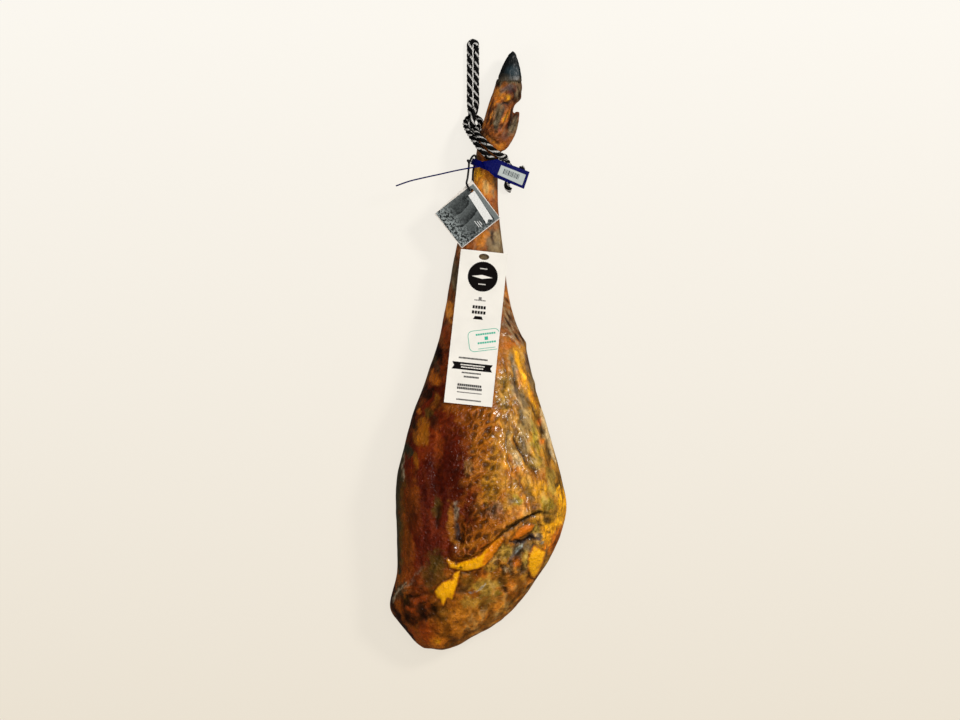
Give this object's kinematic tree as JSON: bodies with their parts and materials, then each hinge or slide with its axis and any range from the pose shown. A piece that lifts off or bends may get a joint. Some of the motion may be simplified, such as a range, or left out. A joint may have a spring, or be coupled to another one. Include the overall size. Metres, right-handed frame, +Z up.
{
  "type": "cured ham",
  "caption": "Whole dry-cured ham leg with its hoof, lying down, with a hitched twisted rope, a plastic seal, a tag card and a long paper label.",
  "frame": {"origin": "middle of the bounding box of the leg, its hoof, cards and seal, at the floor it lies on", "axes": "+Y along the leg from the butt to the hoof, +Z up through the shown side"},
  "size_m": [0.2374, 0.8173, 0.1259],
  "materials": {
    "cured_meat": "satin",
    "hoof_horn": "satin",
    "rope": "matte",
    "seal_plastic": "gloss",
    "seal_label": "satin",
    "black_string": "matte",
    "tag_card": "satin",
    "label_card": "matte"
  },
  "bodies": {
    "root": {"ham": "cured_meat", "hoof_claw_upper": "hoof_horn", "hoof_claw_lower": "hoof_horn", "rope": "rope", "seal": "seal_plastic", "seal_label": "seal_label", "string": "black_string", "string_knot": "black_string", "tag_card": "tag_card", "label_card": "label_card"}
  },
  "joints": []
}
